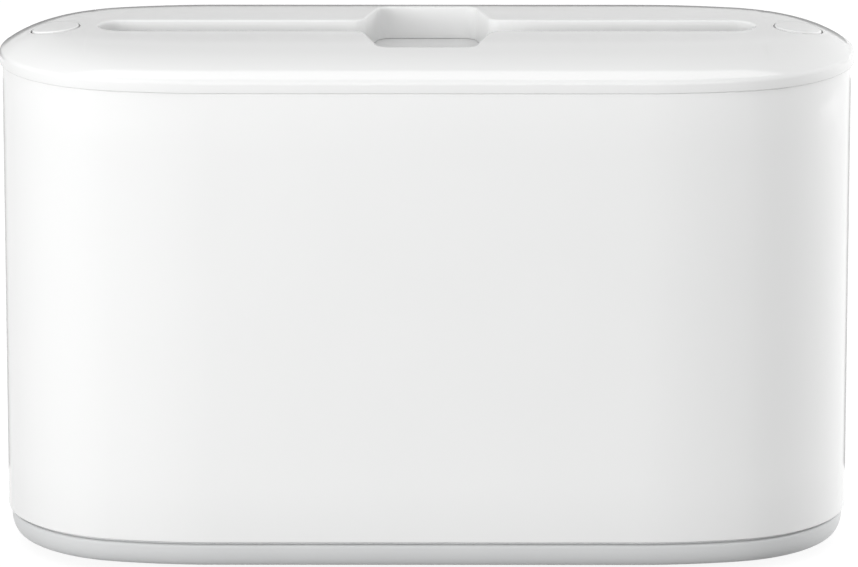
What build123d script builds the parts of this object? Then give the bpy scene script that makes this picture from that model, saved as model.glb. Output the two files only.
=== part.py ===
"""Countertop paper towel dispenser: a tall shell on a grey tray, a domed lid that two
push buttons release, and a sprung platform that lifts the towels to the lid's slot.
Millimetres, +Z up, origin on the counter under the middle of the body. The front looks
along -Y and the long side lies along X. Pieces of the left end stand at -X."""

import os
from math import atan2, cos, degrees, radians, sin, sqrt, tan

from build123d import *

os.makedirs("parts", exist_ok=True)

# Body outline, seen from above
body_length = 319.6
body_depth = 113.6
front_flat = 158.0
end_easing = 3.2
end_radius = body_depth / 2 - end_easing

# Heights of what stands on the counter
foot_height = 4.0
tray_height = 10.0
shell_height = 173.2

# Shell
shell_wall = 2.6
shell_edge_bevel = 0.5
rib_reach = 11.8
rib_thickness = 1.8
rib_pitch = 50.0
rib_count = 5
rib_base_gap = 8.0
rib_top_gap = 9.0
seat_clearance = 0.4

# Tray, with a lower edge rounded in flat bands
tray_inset = 1.2
tray_floor = 2.5
tray_wall = 2.6
tray_edge_round = 4.2
tray_edge_bands = 2
tray_lip_height = 5.0
tray_lip_wall = 2.0

# Barbs on the tray's lip, which snap into pockets in the shell's wall
barb_pitch = 60.0
barb_count = 3
barb_width = 12.0
barb_height = 2.0
barb_reach = 1.3
barb_rise = 1.6
barb_play = 0.2

# Rubber feet
foot_radius = 9.0
foot_spread_x = 200.0
foot_spread_y = 50.0

# Lid section: rim, rounded edge, shoulder and sloping crown, each tangent to the next
lid_overhang = 1.1
lid_wall = 2.5
rim_height = 3.4
rim_round = 2.2
shoulder_slope = 39.0
shoulder_round = 31.0
crown_slope = 4.2
crown_round = 15.0
crown_inset = 33.1
lip_depth = 6.0
lip_wall = 2.0

# Slot and finger recess in the lid
slot_end_inset = 5.5
slot_width = 18.0
recess_depth = 69.0
recess_front_width = 35.8
recess_waist_width = 48.2
recess_corner = 5.0
recess_blend = 5.0
mouth_wall = 2.0
mouth_height = 12.2

# Towel platform
deck_end_gap = 2.0
deck_corner = 12.0
deck_thickness = 2.5
deck_gap = 0.7
deck_side_gap = 1.0
deck_rib_depth = 11.0
deck_rib_thickness = 2.0
deck_rib_inset = 6.0
deck_rib_pitch = 41.0
deck_rib_count = 5
ear_thickness = 8.0
ear_root = 16.0
hub_drop = 12.4
hub_wall = 1.9
platform_travel = 125.0

# Guide posts, bushes and lift springs
post_radius = 3.0
post_from_end = 19.8
post_offset = 24.0
post_clearance = 0.05
post_socket_height = 5.5
post_socket_wall = 2.0
bush_clearance = 0.1
bush_wall = 1.2
bush_length = 20.0
bush_flange = 1.6
bush_flange_thickness = 1.2
lift_wire_radius = 0.7
lift_coil_radius = 6.0
spring_end_gap = 0.1

# End guides
panel_thickness = 2.0
panel_from_end = 27.8
panel_side_gap = 1.0
panel_corner = 8.0
ear_slot_clearance = 2.0
ear_slot_base = 8.0
guide_foot_length = 13.0
guide_foot_thickness = 2.5
guide_foot_width = 60.0
arm_thickness = 2.2
arm_width = 16.0
arm_gap = 0.8

# Clips on the tray's floor that hold the end guides
clip_width = 10.0
clip_spread = 40.0
clip_wall = 1.6
clip_reach = 1.2
clip_hook = 1.6
clip_play = 0.1
heel_width = 44.0
heel_offset = 8.0
heel_height = 3.5

# Push buttons
button_from_rim = 21.2
button_radius = 8.8
button_clearance = 0.25
button_wall = 1.6
button_proud = 0.5
button_travel = 4.0
button_lug_reach = 1.2
button_lug_width = 4.0
button_lug_height = 1.5
button_play = 0.2
sleeve_wall = 1.6
sleeve_rise = 3.0
blade_width = 5.0
blade_thickness = 3.0
blade_offset = 1.8
blade_gap = 0.5
button_wire_radius = 0.45
button_coil_radius = 5.3

# Button retainers, held on stops under the lid by two hooks
retainer_thickness = 2.0
retainer_width = 12.0
retainer_length = 34.0
retainer_slot_clearance = 0.6
hook_width = 6.0
hook_wall = 1.6
hook_reach = 0.9
hook_height = 1.5
hook_play = 0.1
stop_depth = 3.5

# Lid tongues and the spring strips that catch them
tongue_thickness = 2.2
tongue_width = 19.0
tongue_from_rim = 7.7
tongue_bar = 3.5
catch_drop = 19.2
catch_play = 0.6
window_side_gap = 0.6
window_height = 7.0
strip_thickness = 0.8
strip_width = 12.0
strip_bend = 1.2
strip_foot_length = 37.0
nose_reach = 1.6
ramp_drop = 7.2
ramp_top_from_end = 20.8
pocket_height = 19.0
pocket_wall = 1.5
pocket_play = 0.05


def outline_arcs():
    """The outline's end arc centre along X, the rear shoulder arcs' centre along Y, and
    the angle that a shoulder arc turns before it runs into the end arc."""
    end_centre = body_length / 2 - end_radius
    half_depth = body_depth / 2
    reach = end_centre - front_flat / 2
    shoulder = (reach**2 + half_depth**2 - end_radius**2) / (2 * (half_depth - end_radius))
    return end_centre, half_depth - shoulder, degrees(atan2(reach, shoulder - half_depth))


def outline(inset):
    """The body's closed plan outline, moved inwards by inset: two straight runs, four
    shoulder arcs and two end arcs. A parallel outline keeps the same arc centres."""
    end_centre, shoulder_y, turn = outline_arcs()
    half_flat = front_flat / 2
    edge = body_depth / 2 - inset
    shoulder = body_depth / 2 - shoulder_y - inset
    with BuildLine() as loop:
        for side in (1, -1):
            first = 180 - 90 * side
            Line((-side * half_flat, side * edge), (side * half_flat, side * edge))
            CenterArc((side * half_flat, side * shoulder_y), shoulder, first, -turn)
            CenterArc((side * end_centre, 0), end_radius - inset, first - turn, 2 * turn - 180)
            CenterArc((side * half_flat, -side * shoulder_y), shoulder, first - 180 + turn, -turn)
    return loop.wire()


def lid_shoulder():
    """Centre of the lid section's shoulder arc: inset from the rim, and height above
    the seam."""
    steep = radians(shoulder_slope)
    start = rim_round * (1 - sin(steep))
    rise = rim_height + rim_round * cos(steep)
    return start + shoulder_round * sin(steep), rise - shoulder_round * cos(steep)


shoulder_centre = lid_shoulder()
crown_start = shoulder_centre[0] - shoulder_round * sin(radians(crown_slope))


def lid_rise(inset):
    """Height of the lid's outer surface above the seam, at an inset from the rim on its
    shoulder or its sloping crown."""
    short = shoulder_centre[0] - min(inset, crown_start)
    shoulder_rise = shoulder_centre[1] + sqrt(shoulder_round**2 - short**2)
    return shoulder_rise + max(inset - crown_start, 0) * tan(radians(crown_slope))


crown_rise = lid_rise(crown_inset)
level_inset = crown_inset + crown_round * tan(radians(crown_slope / 2))


# Levels, from the counter up
tray_bottom = foot_height
floor_top = tray_bottom + tray_floor
tray_top = tray_bottom + tray_height
tray_lip_top = tray_top + tray_lip_height
guide_foot_top = floor_top + guide_foot_thickness
shell_top = tray_top + shell_height
crown_top = shell_top + crown_rise
mouth_bottom = crown_top - mouth_height
deck_top = mouth_bottom - deck_gap
deck_bottom = deck_top - deck_thickness
hub_top = deck_top - hub_drop
hub_bottom = hub_top - bush_length
arm_bottom = hub_top + arm_gap
panel_top = arm_bottom + arm_thickness
sleeve_bottom = shell_top + sleeve_rise
lug_top = sleeve_bottom - button_play
lug_bottom = lug_top - button_lug_height
retainer_top = lug_bottom - button_travel - button_play
retainer_bottom = retainer_top - retainer_thickness
catch_level = shell_top - catch_drop
tongue_bottom = catch_level - catch_play - tongue_bar

# Places along X at the left end, and the places that repeat
lid_half_length = body_length / 2 + lid_overhang
tongue_outer = tongue_from_rim - lid_half_length
tongue_middle = tongue_outer + tongue_thickness / 2
panel_outer = panel_from_end - body_length / 2 - panel_thickness / 2
panel_inner = panel_outer + panel_thickness
post_x = post_from_end - body_length / 2
button_x = button_from_rim - lid_half_length
foot_inner = panel_inner + guide_foot_length
sleeve_radius = button_radius + button_clearance + sleeve_wall
lip_outer = lid_overhang + shell_wall + seat_clearance
lip_inner = lip_outer + lip_wall
tray_lip_outer = shell_wall + seat_clearance
tray_lip_inner = tray_lip_outer + tray_lip_wall
panel_from_end_centre = -panel_outer - outline_arcs()[0]
panel_chord = 2 * sqrt((end_radius - tray_lip_inner) ** 2 - panel_from_end_centre**2)
panel_width = panel_chord - 2 * panel_side_gap
deck_length = -2 * (panel_inner + deck_end_gap)
deck_depth = body_depth - 2 * (rib_reach + deck_side_gap)
slot_length = deck_length - 2 * slot_end_inset
barb_places = [((n - (barb_count - 1) / 2) * barb_pitch, 0) for n in range(barb_count)]
clip_places = [(foot_inner, y * clip_spread / 2) for y in (1, -1)]


def both(places):
    """Places of the left end, and their twins half a turn about Z away."""
    return [*places, *[(-x, -y) for x, y in places]]


def with_twin(piece):
    """A part made for the left end, together with its twin at the right end."""
    with BuildPart() as pair:
        add(piece)
        add(piece.rotate(Axis.Z, 180))
    return pair.part


def write(piece, name):
    """Label a finished piece and write it to its file."""
    piece.label = name
    export_step(piece, f"parts/{name}.step")


def write_ends(piece, name):
    """Write a piece made for the left end, and its twin turned half a turn about Z."""
    write(piece, f"{name}_left")
    write(piece.rotate(Axis.Z, 180), f"{name}_right")


def carried_round(section, overhang, level):
    """Carry a section round the body's outline. Its x is the inset from a rim that
    overhangs the outline, and its y the height above the level. Straight runs are
    extruded and arcs revolved about their centres, for one quarter mirrored twice."""
    end_centre, shoulder_y, turn = outline_arcs()
    rim_y = body_depth / 2 + overhang
    heading = radians(90 - turn)
    outward = Vector(cos(heading), sin(heading), 0)
    runs = [
        Plane(origin=(x, rim_y, level), x_dir=(0, -1, 0), z_dir=(-1, 0, 0))
        for x in (0, front_flat / 2)
    ]
    end = Plane(
        origin=Vector(end_centre, 0, level) + outward * (end_radius + overhang),
        x_dir=outward * -1,
        z_dir=(-sin(heading), cos(heading), 0),
    )
    with BuildPart() as ring:
        with BuildSketch(runs[0]):
            add(section)
        extrude(amount=-front_flat / 2)
        with BuildSketch(runs[1]):
            add(section)
        revolve(axis=Axis((front_flat / 2, shoulder_y, 0), (0, 0, -1)), revolution_arc=turn)
        with BuildSketch(end):
            add(section)
        revolve(axis=Axis((end_centre, 0, 0), (0, 0, -1)), revolution_arc=90 - turn)
        mirror(about=Plane.YZ)
        mirror(about=Plane.XZ)
    return ring.part


# Outer shell: one wall round the outline, with guide ribs for the towels inside the
# front and the back, and pockets for the tray's barbs
rib_face = body_depth / 2 - rib_reach
pocket_bottom = tray_top + barb_rise - barb_play
pocket_face = body_depth / 2 - tray_lip_outer + barb_reach + barb_play
with BuildPart() as shell:
    with BuildSketch(Plane.XY.offset(tray_top)):
        make_face(outline(0))
    extrude(amount=shell_height)
    chamfer(shell.edges().group_by(Axis.Z)[0], shell_edge_bevel)
    with BuildSketch(Plane.XY.offset(tray_top)):
        make_face(outline(shell_wall))
    extrude(amount=shell_height, mode=Mode.SUBTRACT)
    with BuildSketch(Plane.XY.offset(tray_lip_top + rib_base_gap)):
        for side in (1, -1):
            with Locations((0, side * (rib_face + rib_reach / 2))):
                with GridLocations(rib_pitch, 0, rib_count, 1):
                    Rectangle(rib_thickness, rib_reach)
        make_face(outline(shell_wall / 2), mode=Mode.INTERSECT)
    extrude(amount=shell_top - rib_top_gap - tray_lip_top - rib_base_gap)
    with BuildSketch(Plane.XY.offset(pocket_bottom)):
        with Locations(barb_places):
            Rectangle(barb_width + 2 * barb_play, 2 * pocket_face)
    extrude(amount=barb_height + 2 * barb_play, mode=Mode.SUBTRACT)
write(shell.part, "outer_shell")


def tray_section():
    """The tray's wall and the edge of its floor: x is the inset from the outline, y the
    height above the tray's underside. The lip stands on the wall's inner side."""
    corner = (tray_inset + tray_edge_round, tray_edge_round)
    steps = [radians(90 * n / tray_edge_bands) for n in range(tray_edge_bands + 1)]
    edge = [
        (corner[0] - tray_edge_round * sin(step), corner[1] - tray_edge_round * cos(step))
        for step in steps
    ]
    floor_edge = tray_lip_inner + tray_wall
    with BuildSketch() as section:
        with BuildLine():
            Polyline(
                (floor_edge, 0),
                *edge,
                (tray_inset, tray_height),
                (tray_lip_outer, tray_height),
                (tray_lip_outer, tray_height + tray_lip_height),
                (tray_lip_inner, tray_height + tray_lip_height),
                (tray_lip_inner, tray_floor),
                (floor_edge, tray_floor),
                close=True,
            )
        make_face()
    return section.sketch


# Base tray: a shallow pan whose lip stands inside the shell. Its floor has a socket for
# each guide post, and a heel and two clips for each end guide
socket_side = 2 * (post_radius + post_clearance + post_socket_wall)
clip_bottom = guide_foot_top + clip_play
with BuildPart() as tray_fittings:
    with BuildSketch(Plane.XY.offset(floor_top)):
        with Locations((post_x, post_offset)):
            Rectangle(socket_side, socket_side)
            Circle(post_radius + post_clearance, mode=Mode.SUBTRACT)
    extrude(amount=post_socket_height)
    with BuildSketch(Plane.XY.offset(floor_top)):
        with Locations((panel_outer - clip_play, -heel_offset)):
            Rectangle(clip_wall, heel_width, align=(Align.MAX, Align.CENTER))
    extrude(amount=heel_height)
    for x, y in clip_places:
        with BuildSketch(Plane.XZ.offset(-y)):
            with BuildLine():
                Polyline(
                    (x + clip_play, floor_top),
                    (x + clip_play, clip_bottom),
                    (x + clip_play - clip_reach, clip_bottom),
                    (x + clip_play, clip_bottom + clip_hook),
                    (x + clip_play + clip_wall, clip_bottom + clip_hook),
                    (x + clip_play + clip_wall, floor_top),
                    close=True,
                )
            make_face()
        extrude(amount=clip_width / 2, both=True)
lip_face = body_depth / 2 - tray_lip_outer
barb_bottom = tray_top + barb_rise
with BuildPart() as tray:
    add(carried_round(tray_section(), 0, tray_bottom))
    with BuildSketch(Plane.XY.offset(tray_bottom)):
        make_face(outline(tray_lip_inner + tray_wall))
    extrude(amount=tray_floor)
    add(with_twin(tray_fittings.part))
    for x, y in barb_places:
        with BuildSketch(Plane.YZ.offset(x)):
            for side in (1, -1):
                with BuildLine():
                    Polyline(
                        (side * (lip_face - tray_lip_wall / 2), barb_bottom),
                        (side * (lip_face + barb_reach), barb_bottom),
                        (side * lip_face, barb_bottom + barb_height),
                        (side * (lip_face - tray_lip_wall / 2), barb_bottom + barb_height),
                        close=True,
                    )
                make_face()
        extrude(amount=barb_width / 2, both=True)
write(tray.part, "base_tray")

# Rubber feet under the tray
with BuildPart() as feet:
    with GridLocations(foot_spread_x, foot_spread_y, 2, 2):
        Cylinder(foot_radius, foot_height, align=(Align.CENTER, Align.CENTER, Align.MIN))
write(feet.part, "rubber_feet")


def under_lid(lift):
    """Ends of the lid's sloping underside, at the level middle and at the lip, raised
    by lift."""
    return [
        (level_inset, crown_rise - lid_wall + lift),
        (lip_inner, lid_rise(lip_inner) - lid_wall + lift),
    ]


def wall_section():
    """The lid's wall, seen along the rim: x is the inset from the rim, y the height
    above the seam. The lip hangs from it into the shell."""
    with BuildSketch() as section:
        with BuildLine():
            Polyline((lip_outer, 0), (0, 0), (0, rim_height))
            CenterArc((rim_round, rim_height), rim_round, 180, shoulder_slope - 90)
            CenterArc(shoulder_centre, shoulder_round, 90 + shoulder_slope, crown_slope - shoulder_slope)
            level = (level_inset, crown_rise - crown_round)
            blend = CenterArc(level, crown_round, 90 + crown_slope, -crown_slope)
            Line((crown_start, lid_rise(crown_start)), blend @ 0)
            Polyline(
                blend @ 1,
                *under_lid(0),
                (lip_inner, -lip_depth),
                (lip_outer, -lip_depth),
                (lip_outer, 0),
            )
        make_face()
    return section.sketch


def core_section():
    """What lies under the middle of the lid's wall, down to below the tongues. It trims
    the fittings under the lid to the dome."""
    low = tongue_bottom - shell_top - lid_wall
    with BuildSketch() as section:
        with BuildLine():
            Polyline(
                (level_inset, low),
                *under_lid(lid_wall / 2),
                (lip_inner, low),
                close=True,
            )
        make_face()
    return section.sketch


def mouth_outline(growth):
    """Plan of the slot with its finger recess, all edges moved outwards by growth."""
    slope = (recess_waist_width - recess_front_width) / (recess_depth - slot_width)
    half_waist = recess_waist_width / 2 + slope * slot_width / 2
    half_front = recess_front_width / 2
    half_depth = recess_depth / 2
    with BuildSketch() as mouth:
        with BuildLine():
            Polyline(
                (half_front, half_depth),
                (half_waist, 0),
                (half_front, -half_depth),
                (-half_front, -half_depth),
                (-half_waist, 0),
                (-half_front, half_depth),
                close=True,
            )
        make_face()
        fillet(mouth.vertices().filter_by(lambda v: abs(v.Y) > half_depth / 2), recess_corner)
        SlotOverall(slot_length, slot_width)
        junctions = mouth.vertices().filter_by(
            lambda v: abs(abs(v.Y) - slot_width / 2) < 0.01 and abs(v.X) < recess_waist_width
        )
        fillet(junctions, recess_blend)
        if growth > 0:
            offset(amount=growth)
    return mouth.sketch


# Under the lid: the mouth's walls, and at each end a sleeve for the button, stops and
# hooks for the button's retainer, and the tongue that the spring strip catches
hook_face = retainer_length / 2 + hook_play
hook_top = retainer_bottom - hook_play
with BuildPart() as end_fittings:
    with BuildSketch(Plane.XY.offset(sleeve_bottom)):
        with Locations((button_x, 0)):
            Circle(sleeve_radius)
    extrude(amount=crown_top - sleeve_bottom)
    with BuildSketch(Plane.XY.offset(retainer_top)):
        with Locations((button_x, 0)):
            with GridLocations(0, retainer_length - stop_depth, 1, 2):
                Rectangle(hook_width, stop_depth)
    extrude(amount=crown_top - retainer_top)
    with BuildSketch(Plane.YZ.offset(button_x)):
        for side in (1, -1):
            with BuildLine():
                Polyline(
                    (side * hook_face, crown_top),
                    (side * hook_face, hook_top),
                    (side * (hook_face - hook_reach), hook_top),
                    (side * hook_face, hook_top - hook_height),
                    (side * (hook_face + hook_wall), hook_top - hook_height),
                    (side * (hook_face + hook_wall), crown_top),
                    close=True,
                )
            make_face()
    extrude(amount=hook_width / 2, both=True)
    with BuildSketch(Plane.XY.offset(tongue_bottom)):
        with Locations((tongue_middle, 0)):
            Rectangle(tongue_thickness, tongue_width)
    extrude(amount=crown_top - tongue_bottom)
with BuildPart() as core:
    add(carried_round(core_section(), lid_overhang, shell_top))
    with BuildSketch(Plane.XY.offset(tongue_bottom - lid_wall)):
        make_face(outline(level_inset - lid_overhang))
    extrude(amount=crown_top + lid_wall / 2 - tongue_bottom)
with BuildPart() as lid:
    add(with_twin(end_fittings.part))
    with BuildSketch(Plane.XY.offset(mouth_bottom)):
        add(mouth_outline(mouth_wall))
    extrude(amount=mouth_height)
    add(core.part, mode=Mode.INTERSECT)
    add(carried_round(wall_section(), lid_overhang, shell_top))
    with BuildSketch(Plane.XY.offset(crown_top - lid_wall)):
        make_face(outline(level_inset - lid_overhang))
    extrude(amount=lid_wall)
    with BuildSketch(Plane.XY.offset(mouth_bottom)):
        add(mouth_outline(0))
    extrude(amount=mouth_height, mode=Mode.SUBTRACT)
    with BuildSketch(Plane.XY.offset(sleeve_bottom)):
        with Locations(both([(button_x, 0)])):
            Circle(button_radius + button_clearance)
    extrude(amount=mouth_height, mode=Mode.SUBTRACT)
    with BuildSketch(Plane.YZ):
        with Locations((0, catch_level - catch_play + window_height / 2)):
            Rectangle(strip_width + 2 * window_side_gap, window_height)
    extrude(amount=lid_half_length, both=True, mode=Mode.SUBTRACT)
write(lid.part, "lid")

# End guide: a panel that bounds the towels, a foot that the tray's clips hold, an arm
# for the guide post's top, a pocket for the spring strip and a tall slot for the
# platform's ear
strip_bottom = catch_level - strip_foot_length
with BuildPart() as guide:
    with BuildSketch(Plane.YZ.offset(panel_outer)):
        with Locations((0, (floor_top + panel_top) / 2)):
            RectangleRounded(panel_width, panel_top - floor_top, panel_corner)
        with Locations((post_offset, hub_top + arm_gap)):
            Rectangle(
                ear_thickness + 2 * ear_slot_clearance,
                hub_top + arm_gap - guide_foot_top - ear_slot_base,
                align=(Align.CENTER, Align.MAX),
                mode=Mode.SUBTRACT,
            )
    extrude(amount=panel_thickness)
    with BuildSketch(Plane.XY.offset(floor_top)):
        with Locations((panel_outer, 0)):
            Rectangle(
                panel_thickness + guide_foot_length,
                guide_foot_width,
                align=(Align.MIN, Align.CENTER),
            )
    extrude(amount=guide_foot_thickness)
    with BuildSketch(Plane.XY.offset(arm_bottom)):
        with Locations((panel_inner, post_offset)):
            Rectangle(panel_inner - post_x, arm_width, align=(Align.MAX, Align.CENTER))
        with Locations((post_x, post_offset)):
            Circle(arm_width / 2)
            Circle(post_radius + post_clearance, mode=Mode.SUBTRACT)
    extrude(amount=arm_thickness)
    with BuildSketch(Plane.XY.offset(strip_bottom - pocket_wall)):
        with Locations((panel_inner - panel_thickness / 2, 0)):
            Rectangle(
                panel_thickness / 2 + strip_thickness + pocket_play + pocket_wall,
                strip_width + 2 * (pocket_play + pocket_wall),
                align=(Align.MAX, Align.CENTER),
            )
    extrude(amount=pocket_wall + pocket_height)
    with BuildSketch(Plane.XY.offset(strip_bottom)):
        with Locations((panel_outer, 0)):
            Rectangle(
                strip_thickness + pocket_play,
                strip_width + 2 * pocket_play,
                align=(Align.MAX, Align.CENTER),
            )
    extrude(amount=pocket_height, mode=Mode.SUBTRACT)
write_ends(guide.part, "end_guide")

# Guide post: a steel rod between the tray's socket and the end guide's arm
with BuildPart() as post:
    with BuildSketch(Plane.XY.offset(floor_top)):
        with Locations((post_x, post_offset)):
            Circle(post_radius)
    extrude(amount=panel_top - floor_top)
write_ends(post.part, "guide_post")

# Lift spring round each guide post, drawn as the sleeve that its coils fill
lift_spring_top = hub_bottom - bush_flange_thickness - spring_end_gap
lift_spring_bottom = floor_top + post_socket_height + spring_end_gap
with BuildPart() as lift_spring:
    with BuildSketch(Plane.XY.offset(lift_spring_bottom)):
        with Locations((post_x, post_offset)):
            Circle(lift_coil_radius + lift_wire_radius)
            Circle(lift_coil_radius - lift_wire_radius, mode=Mode.SUBTRACT)
    extrude(amount=lift_spring_top - lift_spring_bottom)
write_ends(lift_spring.part, "lift_spring")

# Lift platform: a ribbed deck, and an ear at each end that reaches through the end
# guide to a hub on the guide post
bush_side = 2 * (post_radius + bush_clearance + bush_wall)
ear_limit = (panel_inner - deck_length / 2) / 2
with BuildPart() as platform:
    with BuildSketch(Plane.XY.offset(deck_bottom)):
        RectangleRounded(deck_length, deck_depth, deck_corner)
    extrude(amount=deck_thickness)
    rib_length = deck_length - 2 * deck_rib_inset
    rib_depth = deck_depth - 2 * deck_rib_inset
    with BuildSketch(Plane.XY.offset(deck_bottom - deck_rib_depth)):
        Rectangle(rib_length, rib_depth)
        Rectangle(
            rib_length - 2 * deck_rib_thickness,
            rib_depth - 2 * deck_rib_thickness,
            mode=Mode.SUBTRACT,
        )
        with GridLocations(deck_rib_pitch, 0, deck_rib_count, 1):
            Rectangle(deck_rib_thickness, rib_depth)
        Rectangle(rib_length, deck_rib_thickness)
    extrude(amount=deck_rib_depth)
    with BuildSketch(Plane.XZ.offset(-post_offset)):
        with BuildLine():
            Polyline(
                (-deck_length / 2 + ear_root, deck_bottom),
                (ear_limit, deck_bottom),
                (ear_limit, hub_top),
                (post_x, hub_top),
                (post_x, hub_bottom),
                (ear_limit, hub_bottom),
                close=True,
            )
        make_face()
    extrude(amount=ear_thickness / 2, both=True)
    with BuildSketch(Plane.XY.offset(hub_bottom)):
        with Locations((post_x, post_offset)):
            Rectangle(bush_side + 2 * hub_wall, bush_side + 2 * hub_wall)
    extrude(amount=bush_length)
    with BuildSketch(Plane.XY.offset(hub_bottom)):
        with Locations((post_x, post_offset)):
            Rectangle(bush_side + 2 * post_clearance, bush_side + 2 * post_clearance)
    extrude(amount=bush_length, mode=Mode.SUBTRACT)
write(with_twin(platform.part), "lift_platform")

# Flanged bush in each hub
with BuildPart() as bush:
    with BuildSketch(Plane.XY.offset(hub_bottom - bush_flange_thickness)):
        with Locations((post_x, post_offset)):
            Rectangle(bush_side + 2 * bush_flange, bush_side + 2 * bush_flange)
    extrude(amount=bush_flange_thickness)
    with BuildSketch(Plane.XY.offset(hub_bottom)):
        with Locations((post_x, post_offset)):
            Rectangle(bush_side, bush_side)
    extrude(amount=bush_length)
    with BuildSketch(Plane.XY.offset(hub_bottom - bush_flange_thickness)):
        with Locations((post_x, post_offset)):
            Circle(post_radius + bush_clearance)
    extrude(amount=bush_length + bush_flange_thickness, mode=Mode.SUBTRACT)
write_ends(bush.part, "platform_bush")

# Catch strip: a spring steel strip whose foot stands in the end guide's pocket. Its
# level nose is in the tongue's window, and the button's blade pushes its ramp inwards
strip_line_x = panel_outer - strip_thickness / 2
nose_x = tongue_outer - nose_reach
nose_z = catch_level + strip_thickness / 2
ramp_x = ramp_top_from_end - body_length / 2
ramp_z = shell_top - ramp_drop
with BuildPart() as strip:
    with BuildSketch(Plane.XZ):
        with BuildLine():
            FilletPolyline(
                (strip_line_x, strip_bottom),
                (strip_line_x, nose_z),
                (nose_x, nose_z),
                (ramp_x, ramp_z),
                radius=strip_bend,
            )
        trace(line_width=strip_thickness)
    extrude(amount=strip_width / 2, both=True)
write_ends(strip.part, "catch_strip")

# Push button: a cup whose top follows the lid, with two lugs that stop it under its
# sleeve and a blade that reaches down to the catch strip's ramp
button_top = [
    (x, shell_top + lid_rise(lid_half_length + x) + button_proud)
    for x in (button_x - button_radius, button_x, button_x + button_radius)
]
cup_top = button_top[0][1] - button_wall
ramp_slope = (ramp_z - nose_z) / (ramp_x - nose_x)
ramp_lift = (strip_thickness / 2 + blade_gap) * sqrt(1 + ramp_slope**2)
blade_x = button_x - blade_offset
blade_ends = [
    (x, nose_z + ramp_slope * (x - nose_x) + ramp_lift)
    for x in (blade_x - blade_thickness / 2, blade_x + blade_thickness / 2)
]
with BuildPart() as button:
    with BuildSketch(Plane.XZ):
        with BuildLine():
            ThreePointArc(*button_top)
            Polyline(
                button_top[2],
                (button_top[2][0], lug_bottom),
                (button_top[0][0], lug_bottom),
                button_top[0],
            )
        make_face()
    extrude(amount=button_radius, both=True)
    with BuildSketch(Plane.XY.offset(lug_bottom)):
        with Locations((button_x, 0)):
            Circle(button_radius)
    extrude(amount=crown_top + button_proud - lug_bottom, mode=Mode.INTERSECT)
    with BuildSketch(Plane.XY.offset(lug_bottom)):
        with Locations((button_x, 0)):
            Rectangle(button_lug_width, 2 * (button_radius + button_lug_reach))
    extrude(amount=button_lug_height)
    with BuildSketch(Plane.XY.offset(lug_bottom)):
        with Locations((button_x, 0)):
            Circle(button_radius - button_wall)
    extrude(amount=cup_top - lug_bottom, mode=Mode.SUBTRACT)
    with BuildSketch(Plane.XZ):
        with BuildLine():
            Polyline(
                blade_ends[0],
                (blade_ends[0][0], cup_top + button_wall / 2),
                (blade_ends[1][0], cup_top + button_wall / 2),
                blade_ends[1],
                close=True,
            )
        make_face()
    extrude(amount=blade_width / 2, both=True)
write_ends(button.part, "push_button")

# Button spring, drawn as the sleeve that its coils fill
with BuildPart() as button_spring:
    with BuildSketch(Plane.XY.offset(retainer_top + spring_end_gap)):
        with Locations((button_x, 0)):
            Circle(button_coil_radius + button_wire_radius)
            Circle(button_coil_radius - button_wire_radius, mode=Mode.SUBTRACT)
    extrude(amount=cup_top - retainer_top - 2 * spring_end_gap)
write_ends(button_spring.part, "button_spring")

# Button retainer: a plate between two hooks under the lid, slotted for the blade
with BuildPart() as retainer:
    with BuildSketch(Plane.XY.offset(retainer_bottom)):
        with Locations((button_x, 0)):
            Rectangle(retainer_width, retainer_length)
        with Locations((blade_x, 0)):
            Rectangle(
                blade_thickness + 2 * retainer_slot_clearance,
                blade_width + 2 * retainer_slot_clearance,
                mode=Mode.SUBTRACT,
            )
    extrude(amount=retainer_thickness)
write_ends(retainer.part, "button_retainer")
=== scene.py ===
# %% [markdown]
# # A countertop paper towel dispenser
# The object is a tall white shell on a grey tray, with a domed lid. A slot in the lid
# gives out folded towels, a wider recess lets finger and thumb reach them, and a round
# push button at each end of the lid unlocks it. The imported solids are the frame, which
# gives each surface made here its size and place.

import bpy
import numpy as np
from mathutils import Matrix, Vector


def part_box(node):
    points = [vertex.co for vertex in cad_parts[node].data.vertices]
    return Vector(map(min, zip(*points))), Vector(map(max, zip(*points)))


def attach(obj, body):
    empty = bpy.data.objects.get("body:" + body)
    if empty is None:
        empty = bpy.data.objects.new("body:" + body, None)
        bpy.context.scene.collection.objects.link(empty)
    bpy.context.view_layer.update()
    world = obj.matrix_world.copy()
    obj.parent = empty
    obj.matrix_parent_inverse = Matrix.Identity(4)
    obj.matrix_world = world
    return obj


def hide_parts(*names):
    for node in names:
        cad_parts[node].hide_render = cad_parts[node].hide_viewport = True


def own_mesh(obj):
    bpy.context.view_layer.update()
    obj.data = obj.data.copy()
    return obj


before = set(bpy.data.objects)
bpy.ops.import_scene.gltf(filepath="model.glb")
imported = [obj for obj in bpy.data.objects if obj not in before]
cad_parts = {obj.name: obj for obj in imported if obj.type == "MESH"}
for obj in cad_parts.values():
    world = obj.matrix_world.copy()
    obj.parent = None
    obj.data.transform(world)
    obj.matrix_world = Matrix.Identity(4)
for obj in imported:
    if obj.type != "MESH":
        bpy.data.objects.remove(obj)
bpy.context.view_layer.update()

# %% [markdown]
# ## Sizes
# Blender works in metres, but the shapes below are worked out in millimetres and scaled
# once, when a mesh is made. Sizes that the solids hold are read from their boxes. Only
# what a box can't tell, such as a radius in the plan or a wall, is written here.

# %% Read the sizes that the solids hold
mm = 0.001


def box_mm(node):
    """A solid's lowest and highest corners in millimetres."""
    return tuple(np.array(corner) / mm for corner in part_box(node))


shell_low, shell_high = box_mm("outer_shell")
lid_low, lid_high = box_mm("lid")
tray_low, tray_high = box_mm("base_tray")
_, feet_high = box_mm("rubber_feet")
button_low, button_high = box_mm("push_button_right")
retainer_low, retainer_high = box_mm("button_retainer_right")

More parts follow.
